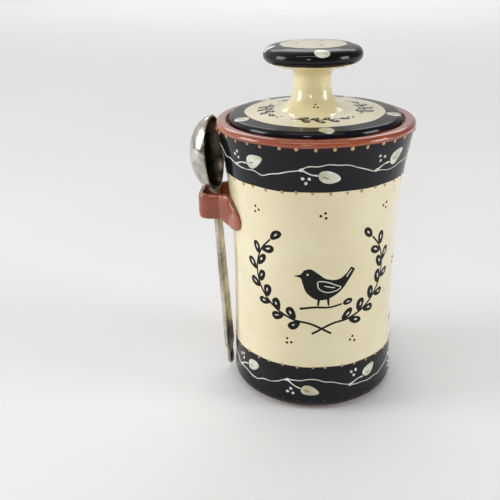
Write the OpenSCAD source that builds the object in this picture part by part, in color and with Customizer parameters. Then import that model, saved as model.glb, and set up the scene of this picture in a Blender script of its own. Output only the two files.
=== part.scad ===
// Lidded earthenware butter crock with a metal spoon hanging in a clay loop.
// The origin is on the crock's axis at the table, +Z is up, and the spoon hangs on the -X side.

/* [Crock] */
// Height from the table to the top of the lip
crock_h = 151.4; // [145:0.2:156]
// Outer radius of the lip, the crock's widest place
rim_r = 52; // [51:0.5:54]
// Outer radius of the wall at its narrowest
waist_r = 44.1; // [43:0.1:45]
// Height of the narrowest place above the table
waist_h = 52; // [40:1:70]
// Thickness of the thrown wall
wall_t = 5; // [4:0.1:5.5]
// Thickness of the floor
floor_t = 7; // [5:0.5:9]
// Outer radius of the bare clay foot
foot_r = 40.6; // [39:0.2:41]

/* [Gallery] */
// Radius of the seat's vertical wall, which the lid drops inside
gallery_r = 46.2; // [46:0.1:46.6]
// Radius of the hole through the seat
ledge_r = 41.6; // [41:0.1:42]
// Depth of the seat below the top of the lip
gallery_depth = 4.2; // [3.5:0.1:5]

/* [Lid] */
// Radial gap between the lid's edge and the gallery wall
lid_gap = 1.5; // [1:0.1:2]
// Radial gap between the locating flange and the seat
flange_gap = 1.4; // [1:0.1:2]
// Depth of the locating flange below the seat
flange_depth = 6.5; // [4:0.5:9]
// Rise of the lid's top from its rounded edge to the middle
lid_crown = 2.3; // [1.5:0.1:3]

/* [Knob] */
// Radius of the mushroom cap
cap_r = 25.3; // [22:0.1:28]
// Radius of the neck at its narrowest
neck_r = 9.5; // [8:0.1:11]
// Height of the neck from the lid to the underside of the cap
neck_h = 21.6; // [18:0.2:28]
// Height of the cap from its underside to its crown
cap_h = 11.3; // [8:0.1:12.5]
// Distance that the hand-placed knob sits off the lid's centre, towards the spoon
knob_shift = 1.3; // [0:0.1:1.5]

/* [Spoon loop] */
// Height of the strap's lower edge above the table
strap_z = 98.2; // [95:0.2:99]
// Width of the strap from its lower to its upper edge
strap_w = 14; // [12:0.2:14]
// Thickness of the strap
strap_t = 3.4; // [3:0.1:3.6]
// Distance from the crock's axis to the strap's outer face
strap_reach = 62; // [62:0.1:64]
// Half the outside width of the loop
strap_half = 12.4; // [12:0.1:14]

/* [Spoon] */
// Overall length of the spoon
spoon_l = 150.3; // [148:0.1:152]
// Length of the bowl
bowl_l = 42.5; // [40:0.1:43]
// Width of the bowl
bowl_w = 29; // [27:0.1:29]
// Thickness of the bowl's wall
bowl_t = 1.2; // [1:0.1:1.5]
// Thickness of the handle
handle_t = 2.6; // [2:0.1:2.8]
// Width of the handle where it meets the bowl
handle_w_top = 7; // [6:0.5:9]
// Width of the handle just above the finial
handle_w_end = 11; // [9:0.5:12]
// Angle that the hanging spoon leans from upright
spoon_lean = 2.84; // [2.7:0.02:3]
// Angle that the spoon is turned about its own length
spoon_turn = 14; // [10:1:15]

/* [Hidden] */

// Steps round a full turn, and along a curved outline
round_fn = 96;
wall_steps = 30;
arc_steps = 8;

// Lip: a roll of clay on the top of the wall
lip_round = 2.8;
lip_z = crock_h - lip_round;
lip_roll = 0.4;
lip_angle = 10;

// Wall: a plain flare above the waist and a slight swell below it
flare_power = 3.3;
heel_swell = 1;
heel_round = 5;
heel_angle = 75;
foot_h = 1.6;
foot_chamfer = 1.2;
recess_r = 33;
recess_depth = 1.5;
heel_z = foot_h + heel_round * sin(heel_angle);
floor_fillet = 6;

// Gallery seat, and the slope of clay that carries it
seat_z = crock_h - gallery_depth;
ledge_t = 4;
ledge_slope_h = 6.2;
lip_inner_round = 0.8;

// Lid
lid_r = gallery_r - lid_gap;
lid_edge_h = 4;
lid_edge_round = 2.6;
lid_lower_round = 0.8;
flange_r = ledge_r - flange_gap;
flange_t = 3.8;
lid_recess = 3.6;
lid_crown_r = lid_r - lid_edge_round;
lid_edge_z = seat_z + lid_edge_h + lid_edge_round;
knob_seat_r = 17.5;

// Knob
knob_foot_r = 15.6;
knob_z = lid_edge_z + lid_crown * (1 - pow(knob_seat_r / lid_crown_r, 2));
foot_flare_power = 3.5;
cap_flare_power = 14;
cap_flare = 6.5;
cap_seat_z = knob_z + neck_h;
cap_top_z = cap_seat_z + cap_h;
cap_edge_round = 0.32 * cap_h;
cap_edge_z = cap_seat_z + 0.55 * cap_h;
cap_edge_low = -50;
cap_edge_high = 80;
cap_shoulder_r = cap_r - 5.3;
cap_shoulder_drop = 0.6;
cap_crown_r = cap_r - 8.6;
cap_crown_drop = 0.15;

// Loop: rounded corners of the bent strap, and the pads that lute its ends to the wall
strap_bend = 5;
strap_inset = 30;
pad_t = 3.2;
pad_r = 8;
pad_z = 104;
pad_turn = 24.5;
pad_bite = 3;

// Spoon: where its lower end hangs, and how its bowl is cut from a full round
spoon_foot_x = 46.7;
spoon_foot_z = 2;
bowl_axis_rise = 1.3;
bowl_mid = spoon_l - bowl_l / 2;
finial_l = 12.4;
finial_w = 6.5;
finial_t = 2.2;
bead_r = 1.5;
bead_l = 7.4;
shoulder_l = 3;

// Outer radius of the wall at height z
function wall_r(z) =
    z >= waist_h
        ? waist_r + (rim_r - lip_roll - waist_r) * pow((z - waist_h) / (lip_z - waist_h), flare_power)
        : waist_r + heel_swell * pow((waist_h - z) / waist_h, 2);

// Points of an arc about [x, y], from angle a to angle b
function arc(x, y, r, a, b) =
    [for (i = [0:arc_steps]) let (t = a + (b - a) * i / arc_steps) [x + r * cos(t), y + r * sin(t)]];

// Outside of the crock from the foot up to the top of the lip
function outside() = concat(
    [[foot_r - foot_chamfer, 0], [foot_r, foot_chamfer]],
    arc(wall_r(heel_z) - heel_round, heel_z, heel_round, -heel_angle, 0),
    [for (i = [1:wall_steps]) let (z = heel_z + (lip_z - heel_z) * i / wall_steps) [wall_r(z), z]],
    arc(rim_r - lip_round, lip_z, lip_round, lip_angle, 90));

// Inside of the crock from the top of the lip down to the floor
function inside() = concat(
    arc(gallery_r + lip_inner_round, crock_h - lip_inner_round, lip_inner_round, 90, 180),
    [[gallery_r, seat_z], [ledge_r, seat_z], [ledge_r, seat_z - ledge_t]],
    [for (i = [wall_steps:-1:0])
        let (low = floor_t + floor_fillet, high = seat_z - ledge_t - ledge_slope_h)
        let (z = low + (high - low) * i / wall_steps)
        [wall_r(z) - wall_t, z]],
    arc(wall_r(floor_t + floor_fillet) - wall_t - floor_fillet, floor_t + floor_fillet, floor_fillet, 0, -90));

// Solid of everything inside the crock's outer surface
module crock_outer() {
    rotate_extrude($fn = round_fn)
        polygon(concat(outside(), [[0, crock_h], [0, 0]]));
}

// Thrown crock: foot, floor, wall, lid seat and rolled lip in one piece of clay
module crock_body() {
    color("cornsilk")
        rotate_extrude($fn = round_fn)
            polygon(concat(
                [[0, recess_depth], [recess_r, recess_depth], [recess_r + recess_depth, 0]],
                outside(),
                inside(),
                [[0, floor_t]]));
}

// Rounded rectangle from x = 0 outwards to x = -reach, half as wide as half on each side
module bend_outline(reach, half, bend) {
    translate([-reach + bend, -half])
        square([reach - bend, 2 * half]);
    translate([-reach, -half + bend])
        square([bend * 2, 2 * (half - bend)]);
    for (side = [-1, 1])
        translate([-reach + bend, side * (half - bend)])
            circle(r = bend, $fn = round_fn);
}

// Pad of clay that spreads each end of the strap along the wall
module loop_pad(side) {
    intersection() {
        rotate_extrude($fn = round_fn)
            polygon([
                [wall_r(pad_z - pad_r) - pad_bite, pad_z - pad_r],
                [wall_r(pad_z - pad_r) + pad_t, pad_z - pad_r],
                [wall_r(pad_z + pad_r) + pad_t, pad_z + pad_r],
                [wall_r(pad_z + pad_r) - pad_bite, pad_z + pad_r]]);
        rotate([0, 0, 180 + side * pad_turn])
            translate([strap_inset, 0, pad_z])
                rotate([0, 90, 0])
                    cylinder(r = pad_r, h = strap_reach - strap_inset, $fn = round_fn);
    }
}

// Strap of clay bent into a loop and luted to the wall at both ends
module spoon_loop() {
    color("sienna")
        difference() {
            union() {
                translate([0, 0, strap_z])
                    linear_extrude(strap_w)
                        difference() {
                            bend_outline(strap_reach, strap_half, strap_bend);
                            bend_outline(strap_reach - strap_t, strap_half - strap_t, strap_bend - strap_t);
                            translate([-strap_inset, -rim_r])
                                square([rim_r, 2 * rim_r]);
                        }
                loop_pad(1);
                loop_pad(-1);
            }
            crock_outer();
        }
}

// Height of the lid's top at radius r, outside the knob
function lid_top(r) = lid_edge_z + lid_crown * (1 - pow(r / lid_crown_r, 2));

// Disc of the lid with the locating flange below it
module lid_plate() {
    under_z = seat_z + lid_recess;
    color("black")
        rotate_extrude($fn = round_fn)
            polygon(concat(
                [
                    [0, under_z],
                    [flange_r - flange_t, under_z],
                    [flange_r - flange_t, seat_z - flange_depth],
                    [flange_r, seat_z - flange_depth],
                    [flange_r, seat_z],
                    [lid_r - lid_lower_round, seat_z],
                    [lid_r, seat_z + lid_lower_round]
                ],
                arc(lid_crown_r, lid_edge_z - lid_edge_round, lid_edge_round, 0, 90),
                [for (i = [1:arc_steps])
                    let (r = lid_crown_r + (knob_seat_r - lid_crown_r) * i / arc_steps)
                    [r, lid_top(r)]],
                [[0, knob_z]]));
}

// Radius of the neck at t, from 0 at the lid to 1 at the cap
function neck(t) =
    neck_r + (knob_foot_r - neck_r) * pow(1 - t, foot_flare_power) + cap_flare * pow(t, cap_flare_power);

// Flared neck and mushroom cap, luted to the middle of the lid
module lid_knob() {
    color("cornsilk")
        translate([-knob_shift, 0, 0])
            rotate_extrude($fn = round_fn)
                polygon(concat(
                    [[0, knob_z]],
                    [for (i = [0:wall_steps]) let (t = i / wall_steps) [neck(t), knob_z + neck_h * t]],
                    arc(cap_r - cap_edge_round, cap_edge_z, cap_edge_round, cap_edge_low, cap_edge_high),
                    [
                        [cap_shoulder_r, cap_top_z - cap_shoulder_drop],
                        [cap_crown_r, cap_top_z - cap_crown_drop],
                        [0, cap_top_z]
                    ]));
}

// Frame of the hanging spoon: z runs up its length, x away from the crock, x = 0 is the bowl's rim
module hung() {
    translate([-spoon_foot_x, 0, spoon_foot_z])
        rotate([0, -spoon_lean, 0])
            rotate([0, 0, 180 - spoon_turn])
                children();
}

// Full round whose outer part is the bowl: half_l is half its length, r its radius
module bowl_round(half_l, r) {
    translate([-bowl_axis_rise, 0, bowl_mid])
        rotate_extrude($fn = round_fn)
            polygon([for (i = [0:wall_steps])
                let (t = -90 + 180 * i / wall_steps)
                [abs(t) == 90 ? 0 : r * cos(t), half_l * sin(t)]]);
}

// Everything on the crock's side of the bowl's rim
module above_rim() {
    translate([-bowl_w, -bowl_w, bowl_mid - bowl_l])
        cube([bowl_w, 2 * bowl_w, 2 * bowl_l]);
}

// Deep oval bowl, which rests on the strap's upper edge
module spoon_bowl() {
    color("silver")
        hung()
            difference() {
                bowl_round(bowl_l / 2, bowl_w / 2);
                bowl_round(bowl_l / 2 - bowl_t, bowl_w / 2 - bowl_t);
                above_rim();
            }
}

// Flat handle, wider towards its lower end, soldered to the tip of the bowl
module spoon_handle() {
    color("silver")
        hung()
            difference() {
                rotate([90, 0, 90])
                    linear_extrude(handle_t)
                        polygon([
                            [-bead_l / 2, finial_l],
                            [-handle_w_end / 2, finial_l + shoulder_l],
                            [-handle_w_top / 2, spoon_l - bowl_l],
                            [-handle_w_top / 2, spoon_l - bowl_l + shoulder_l],
                            [handle_w_top / 2, spoon_l - bowl_l + shoulder_l],
                            [handle_w_top / 2, spoon_l - bowl_l],
                            [handle_w_end / 2, finial_l + shoulder_l],
                            [bead_l / 2, finial_l]
                        ]);
                bowl_round(bowl_l / 2, bowl_w / 2);
            }
}

// Rounded ornament at the end of the handle, with a bead across its top
module spoon_finial() {
    color("silver")
        hung()
            translate([handle_t / 2, 0, 0]) {
                translate([-finial_t / 2, 0, finial_w / 2])
                    rotate([0, 90, 0])
                        cylinder(r = finial_w / 2, h = finial_t, $fn = round_fn);
                translate([-finial_t / 2, -finial_w / 2, finial_w / 2])
                    cube([finial_t, finial_w, finial_l - finial_w / 2]);
                intersection() {
                    translate([0, -bead_l / 2, finial_l - bead_r / 2])
                        rotate([-90, 0, 0])
                            cylinder(r = bead_r, h = bead_l, $fn = round_fn);
                    translate([-bead_l, -bead_l, 0])
                        cube([2 * bead_l, 2 * bead_l, finial_l]);
                }
            }
}

crock_body();
spoon_loop();
lid_plate();
lid_knob();
spoon_bowl();
spoon_handle();
spoon_finial();
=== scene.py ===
"""Looks of a lidded butter crock: thrown, slip-painted earthenware with a pewter spoon in a clay loop."""

import math
import random

import bmesh
import bpy
import numpy as np
from mathutils import Matrix, Vector, noise


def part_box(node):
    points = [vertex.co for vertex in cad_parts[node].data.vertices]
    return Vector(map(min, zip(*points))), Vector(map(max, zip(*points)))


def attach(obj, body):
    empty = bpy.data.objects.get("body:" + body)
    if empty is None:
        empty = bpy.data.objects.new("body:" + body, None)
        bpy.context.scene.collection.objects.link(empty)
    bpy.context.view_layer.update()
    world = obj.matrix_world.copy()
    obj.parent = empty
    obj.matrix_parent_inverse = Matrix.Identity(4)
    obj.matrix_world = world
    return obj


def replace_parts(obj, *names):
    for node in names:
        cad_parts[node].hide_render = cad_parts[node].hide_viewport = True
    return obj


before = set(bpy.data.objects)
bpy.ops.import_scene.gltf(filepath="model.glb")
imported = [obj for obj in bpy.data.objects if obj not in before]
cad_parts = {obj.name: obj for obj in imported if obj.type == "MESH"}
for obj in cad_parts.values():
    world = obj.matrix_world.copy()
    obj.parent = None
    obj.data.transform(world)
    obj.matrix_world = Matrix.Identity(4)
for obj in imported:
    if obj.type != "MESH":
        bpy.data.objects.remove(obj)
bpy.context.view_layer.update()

# Shapes are worked out in millimetres and azimuths in degrees: 0 is the front, 90 the +X side
MM = 0.001


def box_mm(node):
    """Lowest and highest corner of a CAD node in millimetres."""
    low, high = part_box(node)
    return low / MM, high / MM


# ===== Driving sizes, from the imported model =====
CROCK_HIGH = box_mm("crock_body")[1]
LID_HIGH = box_mm("lid_plate")[1]
KNOB_LOW, KNOB_HIGH = box_mm("lid_knob")
LOOP_LOW, LOOP_HIGH = box_mm("spoon_loop")

CROCK_H = CROCK_HIGH.z
RIM_R = CROCK_HIGH.x
WALL_T = 5.0
FLOOR_T = 7.0
FLOOR_FILLET = 7.0
FOOT_R = 40.6
FOOT_CHAMFER = 1.2
FOOT_RECESS_R = 33.0
FOOT_RECESS = 1.5

# Wall: a flare above the waist and a slight swell below it, under a rolled lip
WAIST_R = 44.1
WAIST_Z = 52.0
FLARE_POWER = 3.3
LIP_ROUND = 2.8
LIP_ROLL = 0.36
LIP_ANGLE = 12.0
LIP_Z = CROCK_H - LIP_ROUND
HEEL_ROUND = 5.0
HEEL_ANGLE = 75.0
HEEL_Z = 6.43

# Seat of the lid, inside the lip, and the slope of clay that carries it
GALLERY_R = 46.2
GALLERY_ROUND = 0.9
LEDGE_R = 41.6
LEDGE_T = 4.0
LEDGE_ROUND = 0.7
SLOPE_H = 6.2
SLOPE_FOOT_Z = 125.0
SEAT_Z = CROCK_H - 4.2
SEAT_FILLET = 0.5

# Lid with the flange that locates it
LID_R = LID_HIGH.x
LID_UNDER_Z = SEAT_Z + 3.6
LID_LOWER_ROUND = 0.8
LID_EDGE_ROUND = 2.6
LID_EDGE_Z = SEAT_Z + 6.6
LID_CROWN_R = LID_R - LID_EDGE_ROUND
LID_CROWN = 2.3
FLANGE_R = 40.2
FLANGE_T = 3.8
FLANGE_ROUND = 0.9
FLANGE_FOOT_Z = SEAT_Z - 6.5
RECESS_FILLET = 1.5

# Knob: a flared neck with a mushroom cap
KNOB_X = (KNOB_LOW.x + KNOB_HIGH.x) / 2
KNOB_TOP = KNOB_HIGH.z - 0.12
KNOB_SINK = 0.15
CAP_R = (KNOB_HIGH.x - KNOB_LOW.x) / 2 - 0.05
CAP_H = 11.2
CAP_FLARE = 6.5
CAP_FLARE_POWER = 14
NECK_R = 9.5
NECK_FLARE = 7.9
NECK_POWER = 5.0
NECK_SHARE = 0.94

# Edges of the painted zones
CLAY_TOP = 1.9
LOW_BAND_TOP = 27.1
HIGH_BAND_FOOT = 125.3
HIGH_BAND_TOP = 148.2
LID_CREAM_R = 36.2
KNOB_CREAM_R = 16.7
KNOB_EDGE_Z = KNOB_TOP - 8.6
NECK_DOTS_Z = 159.2

# Spoon: place of its lower end and how it hangs, as in the CAD model
SPOON_FOOT = Vector((-46.7, 0, 2))
SPOON_LEAN = 2.84
SPOON_TURN = 14.0
SPOON_L = 150.3
BOWL_L = 42.5
BOWL_W = 29.0
BOWL_T = 1.2
BOWL_RISE = 1.3
HANDLE_T = 2.6

# Mesh fineness
SEGMENTS = 288
ROW = 1.5
FINE_ROW = 0.5
SHORT_STRETCH = 12.0

# How far the brushed edges of zones wander, and how far from an edge the rows follow it
EDGE_WANDER = 0.3
EDGE_REACH = 4.0


# ===== Small helpers for curves and hand-made unevenness =====
def arc(centre, radius, start, end, steps=8):
    """Points of an arc from angle start to angle end, in degrees."""
    angles = np.radians(np.linspace(start, end, steps + 1))
    return [(centre[0] + radius * math.cos(a), centre[1] + radius * math.sin(a)) for a in angles]


def spline(points, per_span=12):
    """A smooth curve through the points, as rows of coordinates."""
    p = np.array(points, float)
    p = np.vstack([2 * p[0] - p[1], p, 2 * p[-1] - p[-2]])
    t = np.linspace(0, 1, per_span, endpoint=False)[:, None]
    rows = []
    for a, b, c, d in zip(p, p[1:], p[2:], p[3:]):
        rows.append(
            0.5 * (2 * b + (c - a) * t + (2 * a - 5 * b + 4 * c - d) * t**2 + (3 * b - a - 3 * c + d) * t**3)
        )
    return np.vstack(rows + [p[-2][None]])


def lengths_of(points):
    """Length along a curve at each of its points."""
    return np.concatenate([[0], np.cumsum(np.linalg.norm(np.diff(points, axis=0), axis=1))])


def resample(points, step):
    """The same curve at even steps, with the length along it at each."""
    lengths = lengths_of(points)
    count = max(3, int(math.ceil(lengths[-1] / step)) + 1)
    at = np.linspace(0, lengths[-1], count)
    return np.column_stack([np.interp(at, lengths, column) for column in points.T]), at


def normals_of(points):
    """Unit normals to the left of a plane curve."""
    tangent = np.gradient(points, axis=0)
    tangent /= np.linalg.norm(tangent, axis=1)[:, None]
    return np.column_stack([-tangent[:, 1], tangent[:, 0]])


def turned(vector, degrees):
    """A plane vector turned by an angle."""
    a = math.radians(degrees)
    return np.array(
        [vector[0] * math.cos(a) - vector[1] * math.sin(a), vector[0] * math.sin(a) + vector[1] * math.cos(a)]
    )


def superellipse(half_a, half_b, power, count):
    """A ring of points between an ellipse (power 2) and a rectangle."""
    theta = np.linspace(0, 2 * math.pi, count, endpoint=False)
    c, s = np.cos(theta), np.sin(theta)
    return np.column_stack(
        [half_a * np.sign(c) * np.abs(c) ** (2 / power), half_b * np.sign(s) * np.abs(s) ** (2 / power)]
    )


def capped(rings):
    """The rings of a tube, with a point in the middle of each end."""
    return [rings[0].mean(0)[None], *rings, rings[-1].mean(0)[None]]


def wander(seed, size, waves=(2, 3, 5, 8, 13)):
    """A smooth random function of azimuth that closes on itself, up to about size either way."""
    draw = random.Random(seed)
    parts = [(n, draw.uniform(0, 360), draw.uniform(0.5, 1)) for n in waves]

    def value(azimuth):
        total = sum(a * np.sin(np.radians(n * azimuth + shift)) for n, shift, a in parts)
        return size / math.sqrt(len(parts)) * total

    return value


# ===== Surfaces turned on the wheel, which both the clay and the paint lie on =====
class Turned:
    """A surface of revolution, walked from its foot: stretches are lists of (radius, height)."""

    def __init__(self, *stretches, axis_x=0.0, dent=0.0):
        points, self.corners = [], []
        for stretch in stretches:
            for point in stretch:
                if not points or math.dist(points[-1], point) > 1e-4:
                    points.append(tuple(point))
            self.corners.append(len(points) - 1)
        self.points = np.array(points)
        self.lengths = lengths_of(self.points)
        self.corners = self.lengths[self.corners]
        self.axis_x = axis_x
        self.dent = dent

    def section(self, length):
        """Radius and height at a length along the outline."""
        return np.column_stack([np.interp(length, self.lengths, column) for column in self.points.T])

    def point(self, azimuth, length, height=0.0):
        """Places on the surface, raised by height along its normal."""
        azimuth, length, height = np.broadcast_arrays(
            np.asarray(azimuth, float), np.asarray(length, float), np.asarray(height, float)
        )
        nudge = 0.15
        tangent = self.section(length + nudge) - self.section(length - nudge)
        tangent /= np.maximum(np.linalg.norm(tangent, axis=1), 1e-9)[:, None]
        r, z = self.section(length).T
        a = np.radians(azimuth)
        uneven = 0.5 + 0.25 * np.sin(2 * a + 0.02 * z) + 0.25 * np.sin(3 * a + 1.3 + 0.035 * z)
        r = np.maximum(r - self.dent * uneven * np.minimum(r / 10, 1) + height * tangent[:, 1], 0)
        return np.column_stack(
            [self.axis_x + r * np.sin(a), -r * np.cos(a), z - height * tangent[:, 0]]
        )

    def length_at_height(self, z):
        """Length along an outline that only rises, at height z."""
        return np.interp(z, self.points[:, 1], self.lengths)

    def length_at_radius(self, r):
        """Length along the top, which runs inwards to the axis, at radius r."""
        top = int(np.argmax(self.points[:, 0]))
        return np.interp(-np.asarray(r), -self.points[top:, 0], self.lengths[top:])

    def length_up(self, z, foot=0):
        """Length at height z on the part that rises from point number foot to the widest place."""
        widest = int(np.argmax(self.points[:, 0]))
        return float(np.interp(z, self.points[foot:widest, 1], self.lengths[foot:widest]))

    def map_round(self, azimuth, z, radius):
        """Lays flat (across, up) millimetres on the wall round a place on it."""
        def place(flat, height):
            return self.point(
                azimuth + np.degrees(flat[:, 0] / radius), self.length_at_height(z + flat[:, 1]), height
            )
        return place

    def map_edge(self, azimuth, length):
        """Lays flat (across, along the outline) millimetres round a place on an edge."""
        def place(flat, height):
            at = length + flat[:, 1]
            radius = self.section(np.array([length]))[0, 0]
            return self.point(azimuth + np.degrees(flat[:, 0] / radius), at, height)
        return place

    def map_top(self):
        """Lays flat (x, y) millimetres, as seen from above, on the top."""
        def place(flat, height):
            azimuth = np.degrees(np.arctan2(flat[:, 0], -flat[:, 1]))
            return self.point(azimuth, self.length_at_radius(np.hypot(*flat.T)), height)
        return place


def wall_r(z):
    """Outer radius of the crock's wall at height z."""
    if z >= WAIST_Z:
        return WAIST_R + (RIM_R - LIP_ROLL - WAIST_R) * ((z - WAIST_Z) / (LIP_Z - WAIST_Z)) ** FLARE_POWER
    return WAIST_R + ((WAIST_Z - z) / WAIST_Z) ** 2


def lid_top(r):
    """Height of the lid's domed top at radius r."""
    return LID_EDGE_Z + LID_CROWN * (1 - (r / LID_CROWN_R) ** 2)


def inner_r(z):
    """Inner radius of the crock's wall at height z."""
    return wall_r(z) - WALL_T


def crock_outline():
    """The crock from under its foot, up the outside, over the lip and down inside to the floor."""
    slope_top = SEAT_Z - LEDGE_T
    slope_mid = slope_top - SLOPE_H
    slope = [(LEDGE_R, slope_top)] + [(inner_r(z), z) for z in (slope_mid, SLOPE_FOOT_Z)]
    inside_foot = FLOOR_T + FLOOR_FILLET
    return Turned(
        [(0, FOOT_RECESS), (FOOT_RECESS_R, FOOT_RECESS)],
        [(FOOT_RECESS_R + 0.8, 0.5), (FOOT_RECESS_R + 1.8, 0)],
        arc((FOOT_R - FOOT_CHAMFER, FOOT_CHAMFER), FOOT_CHAMFER, -90, 0, 5),
        arc((wall_r(HEEL_Z) - HEEL_ROUND, HEEL_Z), HEEL_ROUND, -HEEL_ANGLE, 0, 12),
        [(wall_r(z), z) for z in np.linspace(HEEL_Z, LIP_Z, 90)[1:]],
        arc((RIM_R - LIP_ROUND + 0.02, LIP_Z), LIP_ROUND, LIP_ANGLE, 90, 10),
        arc((GALLERY_R + GALLERY_ROUND, CROCK_H - GALLERY_ROUND), GALLERY_ROUND, 90, 180, 6),
        arc((GALLERY_R - SEAT_FILLET, SEAT_Z + SEAT_FILLET), SEAT_FILLET, 0, -90, 4),
        arc((LEDGE_R + LEDGE_ROUND, SEAT_Z - LEDGE_ROUND), LEDGE_ROUND, 90, 180, 5),
        spline(slope, 8),
        [(inner_r(z), z) for z in np.linspace(SLOPE_FOOT_Z, inside_foot, 40)],
        arc((inner_r(inside_foot) - FLOOR_FILLET, inside_foot), FLOOR_FILLET, 0, -90, 10),
        [(0, FLOOR_T)],
        dent=0.14,
    )


def lid_outline():
    """The lid from the middle of its underside, round the flange and edge, to the middle of its top."""
    recess_r = FLANGE_R - FLANGE_T - RECESS_FILLET
    foot_z = FLANGE_FOOT_Z + FLANGE_ROUND
    return Turned(
        [(0, LID_UNDER_Z), (recess_r, LID_UNDER_Z)],
        arc((recess_r, LID_UNDER_Z - RECESS_FILLET), RECESS_FILLET, 90, 0, 5),
        arc((FLANGE_R - FLANGE_T + FLANGE_ROUND, foot_z), FLANGE_ROUND, 180, 270, 5),
        arc((FLANGE_R - FLANGE_ROUND, foot_z), FLANGE_ROUND, -90, 0, 5),
        arc((FLANGE_R + SEAT_FILLET, SEAT_Z - SEAT_FILLET), SEAT_FILLET, 180, 90, 4),
        arc((LID_R - LID_LOWER_ROUND, SEAT_Z + LID_LOWER_ROUND), LID_LOWER_ROUND, -90, 0, 5),
        arc((LID_CROWN_R, LID_EDGE_Z - LID_EDGE_ROUND), LID_EDGE_ROUND, 0, 90, 12),
        [(r, lid_top(r)) for r in np.linspace(LID_CROWN_R, 0, 60)],
        dent=0.1,
    )


def knob_outline():
    """The knob from its foot on the lid, up the neck and round the cap, to the middle of its top."""
    foot_z = lid_top(NECK_R + NECK_FLARE) - KNOB_SINK
    neck_h = KNOB_TOP - CAP_H - foot_z
    neck = [
        (NECK_R + NECK_FLARE * (1 - t) ** NECK_POWER + CAP_FLARE * t**CAP_FLARE_POWER, foot_z + neck_h * t)
        for t in np.linspace(0, NECK_SHARE, 40)
    ]
    # Round the cap: radius, and depth below the knob's top
    cap = [
        (16.2, 11.0), (20.2, 10.1), (23.4, 8.6), (CAP_R - 0.35, 6.9), (CAP_R, 5.1), (CAP_R - 0.6, 3.3),
        (CAP_R - 2.3, 1.75), (20.0, 0.85), (KNOB_CREAM_R, 0.4), (8, 0.1), (0, 0),
    ]
    cap = spline([neck[-1], *((r, KNOB_TOP - depth) for r, depth in cap)], 10)
    return Turned([(0, foot_z), neck[0]], neck, cap, axis_x=KNOB_X, dent=0.08)


# ===== Meshes =====
def skin(rings):
    """Faces of a skin over rings of points that follow each other; a ring of one point is a pole."""
    faces, start = [], 0
    for ring, following in zip(rings, rings[1:]):
        after = start + len(ring)
        count = max(len(ring), len(following))
        for i in range(count):
            j = (i + 1) % count
            if len(ring) == 1:
                faces.append((start, after + j, after + i))
            elif len(following) == 1:
                faces.append((start + i, start + j, after))
            else:
                faces.append((start + i, start + j, after + j, after + i))
        start = after
    return faces


def piece(name, body, verts, faces, materials, face_materials=None, sharp=38):
    """A smooth mesh piece in the shared frame that rides on a body."""
    mesh = bpy.data.meshes.new(name)
    mesh.from_pydata((np.asarray(verts) * MM).tolist(), [], faces)
    work = bmesh.new()
    work.from_mesh(mesh)
    bmesh.ops.recalc_face_normals(work, faces=work.faces)
    work.to_mesh(mesh)
    work.free()
    for material in materials:
        mesh.materials.append(material)
    if face_materials is not None:
        mesh.polygons.foreach_set("material_index", np.asarray(face_materials, np.int32))
    mesh.polygons.foreach_set("use_smooth", [True] * len(mesh.polygons))
    mesh.set_sharp_from_angle(angle=math.radians(sharp))
    made = bpy.data.objects.new(name, mesh)
    bpy.context.scene.collection.objects.link(made)
    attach(made, body)
    return made


def lathe(name, body, surface, zones, step=ROW):
    """A turned piece. zones are (length where the zone ends, material), in order along the outline."""
    ends = [min(end, surface.lengths[-1]) for end, _ in zones]
    keys = np.unique(np.round(np.concatenate([[0], surface.corners, ends]), 4))
    rows = [0.0]
    for a, b in zip(keys, keys[1:]):
        fine = step if b - a > SHORT_STRETCH else FINE_ROW
        rows.extend(np.linspace(a, b, max(1, int(math.ceil((b - a) / fine))) + 1)[1:])
    rows = np.array(rows)
    azimuth = np.arange(SEGMENTS) * 360 / SEGMENTS
    rings, zone_of_row = [], []
    shifts = [wander(f"{name}{i}", EDGE_WANDER)(azimuth) for i in range(len(zones) - 1)]
    for row in rows:
        radius = surface.section(np.array([row]))[0, 0]
        zone_of_row.append(sum(row >= end - 1e-3 for end in ends[:-1]))
        if radius < 1e-3:
            rings.append(surface.point([0.0], [row]))
            continue
        length = np.full(SEGMENTS, row)
        for end, shift in zip(ends, shifts):
            length = length + shift * max(0, 1 - abs(row - end) / EDGE_REACH) ** 2
        rings.append(surface.point(azimuth, length))
    order = list(dict.fromkeys(material for _, material in zones))
    index_of = [order.index(material) for _, material in zones]
    shades = np.repeat([index_of[zone] for zone in zone_of_row[:-1]], SEGMENTS)
    return piece(name, body, np.vstack(rings), skin(rings), order, shades)


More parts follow.
